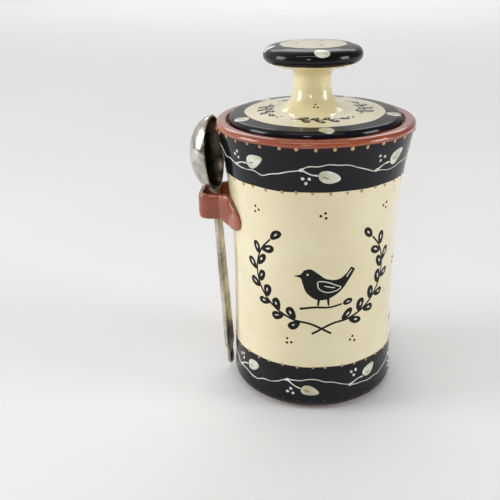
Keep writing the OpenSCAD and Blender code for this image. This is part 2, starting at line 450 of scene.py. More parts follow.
class Relief:
    """Raised slip: closed shapes laid on a surface, sunk a little so that no gap shows under them."""

    SINK = 0.12

    def __init__(self):
        self.verts, self.faces, self.count = [], [], 0

    def add(self, rings):
        self.faces += [tuple(i + self.count for i in face) for face in skin(rings)]
        self.verts += rings
        self.count += sum(len(ring) for ring in rings)

    def blob(self, place, centre, size, turn=0.0, height=0.3, base=0.0, tip=0.0, seed=None, round_fn=20):
        """A domed spot of size (length, width). tip from 0 to 1 narrows its far end."""
        theta = np.linspace(0, 2 * math.pi, round_fn, endpoint=False)
        edge = np.column_stack(
            [size[0] / 2 * np.cos(theta), size[1] / 2 * np.sin(theta) * (1 - tip * np.cos(theta))]
        )
        if seed is not None:
            draw = random.Random(seed)
            a, b = draw.uniform(0, 6.28), draw.uniform(0, 6.28)
            edge *= (1 + 0.05 * np.sin(2 * theta + a) + 0.035 * np.sin(3 * theta + b))[:, None]
        t = math.radians(turn)
        spin = np.array([[math.cos(t), math.sin(t)], [-math.sin(t), math.cos(t)]])
        edge = edge @ spin
        centre = np.array(centre, float)
        rings = [place(centre[None], np.array([-self.SINK]))]
        rings.append(place(centre + edge, np.full(round_fn, -self.SINK)))
        for share in (1, 0.93, 0.8, 0.6, 0.35):
            top = base + height * math.sqrt(1 - share**2)
            rings.append(place(centre + edge * share, np.full(round_fn, top)))
        rings.append(place(centre[None], np.array([base + height])))
        self.add(rings)

    def patch(self, place, left, right, height, base=0.0, across=6, square=4):
        """A domed shape between two edges with as many points each, which meet at both ends."""
        share = np.linspace(0, 1, across + 1)
        width = np.linalg.norm(right - left, axis=1)
        full = np.minimum(1, width / max(min(width.max(), 1.2), 1e-6)) ** 0.6
        dome = (1 - np.abs(2 * share - 1) ** square) ** 0.5
        rings = []
        for i in range(len(left)):
            row = left[i] + (right[i] - left[i]) * share[:, None]
            if i in (0, len(left) - 1):
                rings.append(place(row[:1], np.array([base - self.SINK])))
                continue
            top = place(row, base + height * full[i] * dome)
            foot = place(row[[-1, 0]], np.full(2, -self.SINK))
            rings.append(np.vstack([top, foot]))
        self.add(rings)

    def stroke(self, place, points, width, height, base=0.0, across=4, square=2, step=0.6):
        """A brush line through points. width is one number or one for each point."""
        widths = np.full(len(points), width) if np.isscalar(width) else np.array(width, float)
        curve = spline(np.column_stack([np.array(points, float), widths]))
        middle, at = resample(curve[:, :2], step)
        along = lengths_of(curve[:, :2])
        half = np.interp(at, along, curve[:, 2]) / 2
        to_end = np.minimum(at, at[-1] - at)
        inside = np.clip(1 - to_end / np.maximum(half, 1e-6), 0, 1)
        half = half * np.sqrt(1 - inside**2)
        side = normals_of(middle) * half[:, None]
        self.patch(place, middle + side, middle - side, height, base, across, square)

    def finish(self, name, body, slot, material):
        return piece(name, body, np.vstack(self.verts), self.faces, [material], sharp=60)


# ===== Materials =====
class Finish:
    """A procedural material, made up from a few kinds of pattern in the piece's own coordinates."""

    # Places of the factor and the two colours, and of the mixed colour, on a mix node
    MIX_SOCKETS = (0, 6, 7)
    MIX_RESULT = 2

    def __init__(self, name, **constants):
        self.material = bpy.data.materials.new(name)
        self.material.use_nodes = True
        self.nodes = self.material.node_tree.nodes
        self.links = self.material.node_tree.links
        self.shader = self.nodes["Principled BSDF"]
        self.space = self.nodes.new("ShaderNodeTexCoord").outputs["Object"]
        for socket, value in constants.items():
            self.shader.inputs[socket.replace("_", " ")].default_value = value

    def add(self, kind, inputs, **settings):
        """A node with these settings, whose inputs are linked to patterns or set to constants."""
        node = self.nodes.new("ShaderNode" + kind)
        for setting, value in settings.items():
            setattr(node, setting, value)
        for socket, value in inputs.items():
            if isinstance(value, bpy.types.NodeSocket):
                self.links.new(value, node.inputs[socket])
            else:
                node.inputs[socket].default_value = value
        return node

    def stretched(self, *factors):
        """The piece's coordinates times a factor for each axis."""
        return self.add("VectorMath", {0: self.space, 1: factors}, operation="MULTIPLY").outputs[0]

    def noise(self, per_metre, detail=3.0, rough=0.5, space=None, distortion=0.0):
        """Noise from 0 to 1 with that many features to the metre."""
        inputs = {"Vector": space or self.space, "Scale": per_metre, "Detail": detail}
        inputs.update({"Roughness": rough, "Distortion": distortion})
        return self.add("TexNoise", inputs).outputs["Fac"]

    def cells(self, per_metre):
        """Distance to the nearest of scattered points, 0 at the point."""
        return self.add("TexVoronoi", {"Vector": self.space, "Scale": per_metre}).outputs["Distance"]

    def ramp(self, value, *stops):
        """Maps a value to two colours or greys given as (place, colour or grey)."""
        node = self.add("ValToRGB", {"Fac": value})
        for element, (place, colour) in zip(node.color_ramp.elements, stops):
            shade = (colour,) * 3 if isinstance(colour, (int, float)) else colour
            element.position = place
            element.color = (*shade, 1)
        return node.outputs["Color"]

    def blend(self, factor, low, high, mode="MIX"):
        """Mixes two colours by a factor; each may be a colour or a pattern."""
        inputs = [value if not isinstance(value, tuple) else (*value, 1) for value in (factor, low, high)]
        node = self.add("Mix", dict(zip(self.MIX_SOCKETS, inputs)), data_type="RGBA", blend_type=mode)
        return node.outputs[self.MIX_RESULT]

    def sum(self, *weighted):
        """Sum of patterns times weights."""
        total = 0.0
        for pattern, weight in weighted:
            node = self.add("Math", {0: pattern, 1: weight, 2: total}, operation="MULTIPLY_ADD")
            total = node.outputs[0]
        return total

    def done(self, colour, roughness, height, depth):
        """Connects the patterns. depth is the bump's height in millimetres."""
        bump = self.add("Bump", {"Strength": 1.0, "Distance": depth * MM, "Height": height})
        patterns = {"Base Color": colour, "Roughness": roughness, "Normal": bump.outputs["Normal"]}
        for socket, pattern in patterns.items():
            self.links.new(pattern, self.shader.inputs[socket])
        return self.material


def glaze(
    name, dark, light, speck,
    speck_share=0.3, streak=0.15, gloss=(0.24, 0.4), depth=0.03, body_gloss=0.3, coat=1.0, scale=22,
):
    """Slip under a clear glaze: brushed streaks, mottling, fine specks and a softly uneven gloss."""
    f = Finish(name, Coat_Weight=coat, Coat_Roughness=0.03, Coat_IOR=1.5, Specular_IOR_Level=body_gloss)
    cloud = f.noise(scale, 4, 0.55)
    brushed = f.noise(1, 3, 0.6, f.stretched(14, 14, 420))
    grain = f.noise(900, 2, 0.6)
    tone = f.sum((cloud, 1 - streak), (brushed, streak))
    colour = f.ramp(tone, (0.36, dark), (0.64, light))
    specks = f.ramp(f.cells(330), (0.10, 1.0), (0.17, 0.0))
    rare = f.ramp(f.noise(75, 1), (0.56, 0.0), (0.66, speck_share))
    colour = f.blend(f.blend(1.0, specks, rare, "MULTIPLY"), colour, speck)
    rough = f.ramp(f.sum((f.noise(60, 3), 0.7), (grain, 0.3)), (0.35, gloss[0]), (0.65, gloss[1]))
    rings = f.noise(1, 1, 0.4, f.stretched(6, 6, 170))
    height = f.sum((cloud, 0.6), (rings, 0.3), (f.noise(260, 2), 0.16), (grain, 0.02))
    return f.done(colour, rough, height, depth)


def bare_clay():
    """Unglazed red clay with sand in it and rubbed high spots."""
    f = Finish("bare_clay", Specular_IOR_Level=0.25)
    tone = f.sum((f.noise(45, 4), 0.6), (f.noise(900, 3, 0.7), 0.4))
    colour = f.ramp(tone, (0.36, (0.19, 0.062, 0.03)), (0.62, (0.36, 0.135, 0.07)))
    grit = f.ramp(f.cells(700), (0.12, 1.0), (0.24, 0.0))
    colour = f.blend(grit, colour, (0.13, 0.05, 0.03))
    rough = f.ramp(f.noise(300, 3), (0.3, 0.62), (0.7, 0.9))
    return f.done(colour, rough, f.sum((f.noise(1200, 3, 0.7), 0.6), (grit, -0.4)), 0.12)


def pewter(name, dark, light, gloss):
    """Cast pewter: soft satin metal with a warm grey bloom, fine scratches and small pits."""
    f = Finish(name, Metallic=1.0)
    bloom = f.noise(90, 5, 0.62, distortion=0.6)
    scratch = f.noise(1, 4, 0.75, f.stretched(2600, 2600, 90))
    cross = f.noise(1, 3, 0.7, f.stretched(500, 70, 2400))
    colour = f.ramp(bloom, (0.34, dark), (0.6, light))
    pits = f.ramp(f.cells(520), (0.06, 1.0), (0.15, 0.0))
    colour = f.blend(pits, colour, (0.16, 0.14, 0.11))
    rough = f.ramp(f.sum((bloom, 0.5), (scratch, 0.3), (cross, 0.2)), (0.38, gloss[0]), (0.62, gloss[1]))
    height = f.sum((f.noise(230, 3), 0.6), (scratch, 0.12), (cross, 0.1), (pits, -0.35))
    return f.done(colour, rough, height, 0.06)


CREAM = glaze("cream_glaze", (0.78, 0.685, 0.43), (0.85, 0.77, 0.53), (0.5, 0.34, 0.16))
NECK_CREAM = glaze("knob_cream_glaze", (0.76, 0.65, 0.34), (0.83, 0.74, 0.45), (0.5, 0.34, 0.16))
BLACK = glaze(
    "black_glaze", (0.0015, 0.0016, 0.003), (0.005, 0.005, 0.009), (0.02, 0.018, 0.017),
    body_gloss=0.04, coat=0.5,
)
TERRACOTTA = glaze(
    "terracotta", (0.2, 0.034, 0.009), (0.38, 0.078, 0.023), (0.08, 0.018, 0.008), 0.8, 0.4, (0.2, 0.34), 0.05
)
WHITE_SLIP = glaze("white_slip", (0.6, 0.61, 0.52), (0.86, 0.86, 0.79), (0.4, 0.36, 0.26), scale=110)
LEAF_SLIP = glaze("leaf_slip", (0.5, 0.46, 0.27), (0.76, 0.79, 0.7), (0.4, 0.34, 0.2), 0.4, scale=120)
GOLD_SLIP = glaze("gold_slip", (0.36, 0.18, 0.05), (0.62, 0.38, 0.14), (0.16, 0.08, 0.03), 0.6)
BRUSH_BLACK = glaze(
    "brush_black", (0.002, 0.002, 0.002), (0.008, 0.007, 0.006), (0.04, 0.03, 0.02),
    body_gloss=0.06, coat=0.35,
)
BARE_CLAY = bare_clay()
PEWTER = pewter("pewter", (0.25, 0.23, 0.19), (0.66, 0.64, 0.58), (0.1, 0.26))
# The handle's copy of pewter is rougher from wear, and its colour is tinted warmer and lighter: painted warm
# light reflected from the cream crock.
WORN_PEWTER_WARM_LIGHT = pewter("worn_pewter_painted_warm_light", (0.33, 0.3, 0.235), (0.72, 0.69, 0.59), (0.36, 0.5))
# The bowl's hollow, which faces the crock, gets a near-black copy of pewter: painted shade.
BOWL_HOLLOW_SHADE = pewter("bowl_hollow_painted_shade", (0.035, 0.026, 0.02), (0.12, 0.1, 0.075), (0.22, 0.36))


# ===== Thrown clay =====
CROCK = crock_outline()
LID = lid_outline()
KNOB = knob_outline()
WALL = Turned([(wall_r(z), z) for z in np.linspace(HEEL_Z, LIP_Z, 120)], dent=CROCK.dent)


def outside_length(z):
    """Length along the crock's whole outline at height z on its outside."""
    top = int(np.argmax(CROCK.points[:, 1]))
    foot = int(np.argmax(CROCK.points[:, 0] >= FOOT_R - 1e-6))
    return float(np.interp(z, CROCK.points[foot:top, 1], CROCK.lengths[foot:top]))


def make_crock():
    zones = [
        (outside_length(CLAY_TOP), BARE_CLAY),
        (outside_length(LOW_BAND_TOP), BLACK),
        (outside_length(HIGH_BAND_FOOT), CREAM),
        (outside_length(HIGH_BAND_TOP), BLACK),
        (math.inf, TERRACOTTA),
    ]
    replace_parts(lathe("crock_thrown", "crock", CROCK, zones), "crock_body")


def make_lid():
    plate_zones = [
        (float(LID.length_at_radius(LID_R)) - 0.5, TERRACOTTA),
        (float(LID.length_at_radius(LID_CREAM_R)), BLACK),
        (math.inf, CREAM),
    ]
    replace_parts(lathe("lid_thrown", "lid", LID, plate_zones, FINE_ROW), "lid_plate")
    knob_zones = [
        (KNOB.length_up(KNOB_EDGE_Z), NECK_CREAM),
        (float(KNOB.length_at_radius(KNOB_CREAM_R)), BLACK),
        (math.inf, CREAM),
    ]
    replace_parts(lathe("knob_thrown", "lid", KNOB, knob_zones, FINE_ROW), "lid_knob")


# ===== Clay loop that holds the spoon =====
# Strap: its half width and thickness, and the half width of the loop
STRAP_HALF_H = 6.9
STRAP_HALF_T = 1.7
STRAP_LEG = 10.7
STRAP_RISE = 0.9
STRAP_ROUND_FN = 72

# Ears at its ends: pressed wider, drooping and rounded, with a thumb print near the tip
EAR_L = 19.0
EAR_SWELL = 1.3
EAR_DROP = 3.9
TIP_L = 7.5
PRINT_AT = 8.0
PRINT_HALF_L = 4.5
PRINT_DEPTH = 0.75


def make_loop():
    """A pulled strap whose ends are turned out and pressed along the wall."""
    reach = -LOOP_LOW.x - STRAP_HALF_T
    middle_z = (LOOP_LOW.z + LOOP_HIGH.z) / 2 + 0.1
    wall = wall_r(middle_z)

    def on_wall(azimuth, lift):
        a = math.radians(azimuth)
        return (-(wall + lift) * math.cos(a), (wall + lift) * math.sin(a))

    # Half the strap's middle line, as seen from above: from the end of one ear to the front of the loop
    half_line = [
        on_wall(33.5, 0.3),
        on_wall(29, 1.1),
        on_wall(24, 1.5),
        on_wall(19.5, 1.9),
        on_wall(16.2, 3.4),
        (-49.5, STRAP_LEG + 0.3),
        (-53, STRAP_LEG),
        (-57, STRAP_LEG - 0.1),
        (-reach + 0.9, STRAP_LEG - 1.4),
        (-reach, STRAP_LEG - 4.2),
        (-reach, 0),
    ]
    line = half_line + [(x, -y) for x, y in half_line[-2::-1]]
    path, at = resample(spline(line, 10), 0.5)
    side = normals_of(path)
    across, up = superellipse(1, 1, 4, STRAP_ROUND_FN).T
    rings = []
    for i, (x, y) in enumerate(path):
        to_end = min(at[i], at[-1] - at[i])
        ear = max(0.0, 1 - to_end / EAR_L)
        tip = max(0.0, 1 - to_end / TIP_L)
        wave = noise.noise(Vector((x * 0.12, y * 0.12, 3.0)))
        half_h = STRAP_HALF_H + EAR_SWELL * math.sin(math.pi * min(1, ear * 1.3)) ** 2
        half_h *= math.sqrt(max(1 - tip**2, 1e-4))
        half_t = STRAP_HALF_T - 0.45 * ear - 0.5 * tip
        drop = STRAP_RISE - EAR_DROP * ear**2 * (3 - 2 * ear)
        z = middle_z + drop + half_h * up + 0.25 * wave
        print_along = math.exp(-(((to_end - PRINT_AT) / PRINT_HALF_L) ** 2))
        dent = PRINT_DEPTH * print_along * np.exp(-((up / 0.6) ** 2))
        off = half_t * across * (1 + 0.12 * wave) + np.where(across < 0, dent, 0)
        ring = np.column_stack([x + side[i, 0] * off, y + side[i, 1] * off, z])
        lean = np.array([wall_r(v) for v in z]) - wall
        ring[:, :2] *= (1 + lean * min(1, ear * 1.6) / np.hypot(ring[:, 0], ring[:, 1]))[:, None]
        rings.append(ring)
    rings = capped(rings)
    strap = piece("loop_strap", "crock", np.vstack(rings), skin(rings), [TERRACOTTA])
    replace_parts(strap, "spoon_loop")


# ===== Spoon =====
HUNG = (
    Matrix.Translation(SPOON_FOOT)
    @ Matrix.Rotation(math.radians(-SPOON_LEAN), 4, "Y")
    @ Matrix.Rotation(math.radians(180 - SPOON_TURN), 4, "Z")
)


def hang(points):
    """Points of the spoon (away from the crock, across, along) put where it hangs."""
    return points @ np.array(HUNG.to_3x3()).T + np.array(HUNG.translation)


# Bowl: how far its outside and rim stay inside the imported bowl, and the low crown of the rim
BOWL_INSET = 0.03
RIM_INSET = 0.06
RIM_CROWN = 0.45
BOWL_ROUND_FN = 128
BOWL_RINGS = 42


def make_bowl():
    """Deep oval bowl with a rounded rim, open towards the crock."""
    middle = SPOON_L - BOWL_L / 2
    theta = np.linspace(0, 2 * math.pi, BOWL_ROUND_FN, endpoint=False)
    across, along = np.cos(theta), np.sin(theta)
    rings = []

    def oval(depth, radius, half_l):
        flat = np.full(BOWL_ROUND_FN, depth)
        rings.append(np.column_stack([flat, radius * across, middle + half_l * along]))

    def shell(radius, half_l, shares):
        for share in shares:
            depth = radius * math.sqrt(1 - share**2) - BOWL_RISE
            if share == 0:
                rings.append(np.array([[depth, 0, middle]]))
            else:
                oval(depth, radius * share, half_l * share)

    steps = np.sin(np.linspace(0, math.pi / 2 * 0.93, BOWL_RINGS))
    shell(BOWL_W / 2 - BOWL_INSET, BOWL_L / 2, steps)
    low, high = BOWL_W / 2 - BOWL_T, BOWL_W / 2 - RIM_INSET
    for angle in np.radians(np.linspace(160, 20, 9)):
        radius = (low + high) / 2 - (high - low) / 2 * math.cos(angle)
        half_l = BOWL_L / 2 - BOWL_W / 2 + radius
        oval(RIM_CROWN - RIM_CROWN * math.sin(angle), radius, half_l)
    shell(BOWL_W / 2 - BOWL_T, BOWL_L / 2 - BOWL_T, steps[::-1])
    rings = [hang(ring) for ring in rings]
    faces = skin(rings)
    # The inside faces of the bowl get the near-black copy of pewter: painted shade in the hollow.
    inner_from = len(faces) - BOWL_ROUND_FN * (len(steps) - 1)
    shades = [int(index >= inner_from) for index in range(len(faces))]
    bowl = piece("spoon_bowl_shell", "spoon", np.vstack(rings), faces, [PEWTER, BOWL_HOLLOW_SHADE], shades)
    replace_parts(bowl, "spoon_bowl")


# Handle: its ends, and the line cut along each side of its faces
HANDLE_FOOT = 12.2
HANDLE_TOP = SPOON_L - BOWL_L + 2.6
HANDLE_ROUND_FN = 88
GROOVE_DEPTH = 0.22
GROOVE_HALF_W = 0.28
GROOVE_FROM_EDGE = 1.25


def make_handle():
    """Flat handle with softened edges and a line cut along each side of its faces."""
    stations = [HANDLE_FOOT, 13.2, 15.4, SPOON_L - BOWL_L, HANDLE_TOP]
    half_widths = [3.6, 4.4, 5.45, 3.5, 3.4]
    rings = []
    for s in np.linspace(HANDLE_FOOT, HANDLE_TOP, 150):
        wide = np.interp(s, stations, half_widths)
        ring = superellipse(HANDLE_T / 2, wide, 5.5, HANDLE_ROUND_FN)
        depth = GROOVE_DEPTH * np.clip((s - 18) / 3, 0, 1) * np.clip((HANDLE_TOP - 8 - s) / 3, 0, 1)
        cut = np.exp(-(((wide - GROOVE_FROM_EDGE - np.abs(ring[:, 1])) / GROOVE_HALF_W) ** 2))
        ring[:, 0] -= np.sign(ring[:, 0]) * depth * cut
        rings.append(np.column_stack([ring[:, 0] + HANDLE_T / 2, ring[:, 1], np.full(len(ring), s)]))
    rings = [hang(ring) for ring in capped(rings)]
    # Rougher pewter whose warmer, lighter colour is painted warm light reflected from the cream crock.
    handle = piece("spoon_handle_bar", "spoon", np.vstack(rings), skin(rings), [WORN_PEWTER_WARM_LIGHT])
    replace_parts(handle, "spoon_handle")


# Ornament: half widths up the drop, and the bead across its top
DROP = [(0.05, 0.05), (1.9, 0.75), (2.9, 2), (3.2, 4), (3.0, 6.4), (2.5, 8.6), (2.35, 10.4), (2.4, 11.6)]
DROP_ROUND_FN = 56
BEAD_R = 1.2
BEAD_AT = 11.2
BEAD_HALF_L = 3.65
BEAD_ROUND_FN = 28


def make_finial():
    """Rounded drop at the end of the handle with a bead across its top."""
    drop = []
    for half_w, s in resample(spline(DROP), 0.2)[0]:
        thick = min(1.4, 0.4 + 0.45 * half_w) * min(1, 0.3 + s / 2)
        ring = superellipse(thick, half_w, 2.6, DROP_ROUND_FN)
        drop.append(np.column_stack([ring[:, 0] + HANDLE_T / 2, ring[:, 1], np.full(len(ring), s)]))
    bead = []
    for y in np.linspace(-BEAD_HALF_L, BEAD_HALF_L, 37):
        radius = BEAD_R * (1 - abs(y / BEAD_HALF_L) ** 6) ** 0.5 * (1 + 0.07 * math.cos(y * 5.2))
        ring = superellipse(radius, min(radius, 1.15), 2, BEAD_ROUND_FN)
        bead.append(np.column_stack([ring[:, 0] + HANDLE_T / 2, np.full(len(ring), y), ring[:, 1] + BEAD_AT]))
    drop = [hang(ring) for ring in capped(drop)]
    # The bead's end rings have no size, so a point takes the place of each
    bead = [hang(ring) for ring in [bead[0].mean(0)[None], *bead[1:-1], bead[-1].mean(0)[None]]]
    offset = sum(len(ring) for ring in drop)
    faces = skin(drop) + [tuple(i + offset for i in face) for face in skin(bead)]
    # Rougher pewter whose warmer, lighter colour is painted warm light reflected from the cream crock.
    finial = piece("spoon_finial_drop", "spoon", np.vstack(drop + bead), faces, [WORN_PEWTER_WARM_LIGHT])
    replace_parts(finial, "spoon_finial")


# ===== Painting on the cream wall: a wreath, a little bird inside it and small dots =====
# Thickness of brushed paint, and the foot of the picture: its azimuth, height and the wall's radius there
PAINT = 0.13
MOTIF_AT = 6.4
MOTIF_Z = 52.5
MOTIF_R = 44.6

# Leaves: how far they splay from their stem, and how much a pair is staggered, as a share of their length
LEAF_SPLAY = 36
LEAF_STAGGER = 0.22


def sprig(black, pale, place, stem, pairs, leaf, thick, height=PAINT, seed=0, plump=1.0):
    """A stem with pairs of plump leaves at the given lengths along it, and one at its end."""
    curve, at = resample(spline(stem), 0.5)
    black.stroke(place, stem, np.linspace(thick, thick * 0.75, len(stem)), height)
    draw = random.Random(seed)
    stagger = LEAF_STAGGER * leaf
    spots = [(length - side * stagger, side) for length in pairs for side in (-1, 1)] + [(at[-1], 0)]
    for number, (length, side) in enumerate(spots):
        foot, ahead, behind = (
            np.array([np.interp(length + step, at, column) for column in curve.T]) for step in (0, 1.5, -1.5)
        )
        heading = math.degrees(math.atan2(*(ahead - behind)[::-1]))
        turn = heading + side * LEAF_SPLAY + draw.uniform(-7, 7)
        long = leaf * draw.uniform(0.9, 1.08)
        aside = turned((0.1 * leaf * abs(side), 0), heading + side * 90)
        middle = foot + aside + turned((0.48 * long, 0), turn)
        black.blob(
            place, middle, (long, plump * leaf * draw.uniform(0.54, 0.62)), turn, height, tip=-0.2,
            seed=f"{seed}{number}", round_fn=32,
        )
        light = middle + turned((0.05 * long, -side * 0.03 * leaf), turn)
        size = (long * draw.uniform(0.24, 0.38), plump * leaf * draw.uniform(0.09, 0.15))
        pale.blob(place, light, size, turn, 0.05, base=height * 0.97, seed=f"c{seed}{number}")


# Wreath: an open oval of two mirrored stems, with its heights measured from the middle of its foot
WREATH_HALF_W = 36.5
WREATH_HALF_H = 27.5
WREATH_ENDS = (-82, 42)
WREATH_STUB = 5.5
WREATH_LEAF_L = 7.4
WREATH_FIRST_PAIR = 20.0
WREATH_PAIRS = 6
WREATH_PITCH = 9.6


def make_wreath():
    """Two mirrored stems, crossed at the foot, with evenly spaced pairs of leaves."""
    place = WALL.map_round(MOTIF_AT, MOTIF_Z, MOTIF_R)
    black, pale = Relief(), Relief()
    turns = np.radians(np.linspace(*WREATH_ENDS, 9))
    oval = np.column_stack([WREATH_HALF_W * np.cos(turns), WREATH_HALF_H * (1 + np.sin(turns))])
    stem = np.vstack([[-WREATH_STUB, -WREATH_STUB], oval])
    pairs = WREATH_FIRST_PAIR + WREATH_PITCH * np.arange(WREATH_PAIRS)
    for seed, mirror in ((1, -1), (2, 1)):
        sprig(black, pale, place, stem * (mirror, 1), pairs, WREATH_LEAF_L, 1.25, seed=seed)
    black.finish("painted_wreath", "crock", "black_glaze", BRUSH_BLACK)
    pale.finish("painted_wreath_centres", "crock", "white_slip", WHITE_SLIP)


def make_bird():
    """A plump little bird with its tail up, on a twig inside the wreath."""
    place = WALL.map_round(MOTIF_AT, MOTIF_Z, MOTIF_R)
    black, pale = Relief(), Relief()
    back = [
        (15.5, 32), (11.5, 27.4), (7.5, 25.4), (2, 26.2), (-2.5, 29.4),
        (-6, 31.6), (-9.4, 30.8), (-11.2, 28.6), (-15, 27.3),
    ]
    belly = [
        (17.6, 30.2), (13.8, 24.2), (9.4, 18.6), (3, 14.8), (-3, 14.6),
        (-8, 18.2), (-10.2, 23.4), (-11.2, 26.4), (-15, 27.3),
    ]
    black.patch(place, spline(belly, 10), spline(back, 10), PAINT, across=18, square=6)
    for hip, foot in (((-1.5, 16.5), (-2.2, 10.6)), ((3, 16.5), (3.4, 10.6))):
        black.stroke(place, [hip, foot], (1.6, 0.95), PAINT)
    sprig(black, pale, place, [(-12, 9), (-4, 10.2), (4, 10), (11, 11.4)], (), 5.6, 1.3, seed=5)
    black.finish("painted_bird", "crock", "black_glaze", BRUSH_BLACK)
    on_top = PAINT * 0.98
    feathers = [
        [(-2.6, 25), (2.4, 24.4), (7.4, 22.2), (10.2, 21)],
        [(-2.6, 25), (-1.8, 20.8), (2.4, 18.6), (7, 19.2), (10.2, 21)],
        [(0.6, 22.4), (4.2, 21.4), (7, 21)],
        [(12.4, 26), (14.2, 28.6), (15.8, 30.4)],
    ]
    for line in feathers:
        pale.stroke(place, line, 0.55, 0.05, base=on_top)
    pale.blob(place, (-7.6, 28.6), (1.1, 1.1), 0, 0.07, base=on_top)
    pale.finish("painted_bird_lines", "crock", "white_slip", WHITE_SLIP)


def cluster(relief, place, centre, size, spread, height, seed):
    """Three small dots close together."""
    draw = random.Random(seed)
    start = draw.uniform(0, 360)
    for turn in (0, 120, 240):
        at = np.array(centre) + turned((spread, 0), start + turn + draw.uniform(-15, 15))
        oval = (size * draw.uniform(0.9, 1.25), size)
        relief.blob(place, at, oval, draw.uniform(0, 180), height, round_fn=12)


# Dots in threes: rows of them at even steps round the wall, except behind the spoon
CLUSTER_STEP = 45.0
CLUSTER_ROWS = ((113, range(8)), (42, np.arange(8) + 0.5), (77, np.arange(1, 7) + 0.5))
SPOON_AT = -90.0
SPOON_CLEAR = 35.0


def make_clusters():
    relief = Relief()
    spots = [(MOTIF_AT + CLUSTER_STEP * step, z) for z, steps in CLUSTER_ROWS for step in steps]
    for number, (azimuth, z) in enumerate(spots):
        if abs((azimuth - SPOON_AT + 180) % 360 - 180) > SPOON_CLEAR:
            place = WALL.map_round(azimuth, z, wall_r(z))
            cluster(relief, place, (0, 0), 1.4, 1.6, 0.16, number)
    relief.finish("painted_clusters", "crock", "black_glaze", BRUSH_BLACK)


# ===== Trailed vines and dots on the black bands =====
BAND_LEAVES = 8
LEAF_ROUND_FN = 40
SPOT_ROUND_FN = 40
TRAIL_H = 0.28
TRAIL_WAVES = (7, 11, 19, 31, 43, 57)

# The twig of a leaf leaves the vine this many degrees before the leaf
TWIG_BEFORE = 15


def make_vine(name, middle, swing, first_leaf, leaf_l, lead):
    """A trailed vine that closes round the crock, with evenly spaced leaves, below and above in turn."""
    leaves = [first_leaf + 360 / BAND_LEAVES * number for number in range(BAND_LEAVES)]
    lines, pads, veins, dots = Relief(), Relief(), Relief(), Relief()
    place = WALL.map_round(0, 0, 180 / math.pi)
    wiggle = wander(name, 0.9, TRAIL_WAVES)
    bends = [(azimuth, middle + swing * (-1) ** index) for index, azimuth in enumerate(leaves)]
    bends = [(azimuth - 360, z) for azimuth, z in bends[3:]] + bends
    path = spline(bends, 40)
    path[:, 1] += wiggle(path[:, 0])
    seam = leaves[4] - 360
    path = path[(path[:, 0] >= seam) & (path[:, 0] <= seam + 362)]

    def vine_z(azimuth):
        shifted = (azimuth - seam) % 360 + seam
        return float(np.interp(shifted, path[:, 0], path[:, 1]))

    # Millimetres to the degree along the band
    scale = math.pi / 180 * wall_r(middle)

    def on_band(flat, height):
        return place(np.column_stack([flat[:, 0] / scale, flat[:, 1]]), height)

    def mm(azimuth, z):
        return (azimuth * scale, z)

    draw = random.Random(name)
    trail = [mm(*p) for p in path[::5]]
    lines.stroke(on_band, trail, [draw.uniform(0.34, 0.62) for _ in trail], TRAIL_H, across=6)
    for index, azimuth in enumerate(leaves):
        draw = random.Random(f"{name}{index}")
        below = index % 2 == 0
        side = -1 if below else 1
        node = azimuth - TWIG_BEFORE
        leaf_z = middle + swing * (1 if below else -1) + side * lead
        tilt = side * draw.uniform(8, 30) if below else draw.uniform(10, 45)
        centre = np.array(mm(azimuth + 1, leaf_z))
        base = centre - turned((leaf_l * 0.46, 0), tilt)
        start = mm(node, vine_z(node))
        lines.blob(on_band, start, (2.6, 1.7), 20, 0.4, seed=f"n{name}{index}")
        bend = ((start[0] + base[0]) / 2, (start[1] * 0.45 + base[1] * 0.55) + side * 0.6)
        twig = [start, bend, base - turned((0.6, 0), tilt)]
        lines.stroke(on_band, twig, (1.1, 0.65, 1.1), TRAIL_H, across=6)
        pads.blob(
            on_band, centre, (leaf_l, leaf_l * 0.62), tilt, 0.26, tip=0.3, seed=f"l{name}{index}",
            round_fn=LEAF_ROUND_FN,
        )
        vein = base + turned((1.0, 0), tilt)
        vein_end = vein + turned((leaf_l * 0.36, -0.3), tilt - 6)
        veins.stroke(on_band, [vein, vein_end], (0.35, 0.5), 0.12, base=0.22)
        spot = mm(azimuth - 12.5, leaf_z + (-1.2 if below else 1.4))
        cluster(dots, on_band, spot, 1.6, 1.7, 0.36, f"d{name}{index}")
    lines.finish(f"{name}_vine", "crock", "white_slip", WHITE_SLIP)
    pads.finish(f"{name}_leaves", "crock", "white_slip", LEAF_SLIP)
    veins.finish(f"{name}_leaf_veins", "crock", "black_glaze", BRUSH_BLACK)
    dots.finish(f"{name}_dots", "crock", "white_slip", WHITE_SLIP)


def make_beads(name, z, count, size):
    """A row of gold dots round the crock."""
    relief = Relief()
    draw = random.Random(name)
    for i in range(count):
        azimuth = 360 * i / count + draw.uniform(-1.1, 1.1)
        level = z + draw.uniform(-0.3, 0.3)
        place = WALL.map_round(azimuth, level, wall_r(level))
        wide = size * draw.uniform(0.85, 1.12)
        oval = (wide, wide * draw.uniform(0.9, 1.25))
        relief.blob(place, (0, 0), oval, 0, 0.45, seed=f"{name}{i}", round_fn=14)
    relief.finish(name, "crock", "gold_slip", GOLD_SLIP)


# ===== Painting on the lid and knob =====
# Lid: equal sprigs that follow a circle round the knob, with dots in threes between them
LID_SPRIGS = 4
LID_SPRIG_R = 25.5
LID_SPRIG_TURN = 56.0
LID_SPRIG_PAIRS = (5, 11.5, 18)
LID_LEAF_L = 5.6
LID_PAINT = 0.12

# Round spots on the black rings: how many, their size and the radius they sit at
LID_SPOTS = 5
LID_SPOT = (7.4, 7.4)
LID_SPOT_R = LID_CREAM_R + 4.2
KNOB_SPOTS = 4
KNOB_SPOT = (7.6, 6.6)
KNOB_SPOT_R = 22.6
KNOB_DOTS_R = 8.5


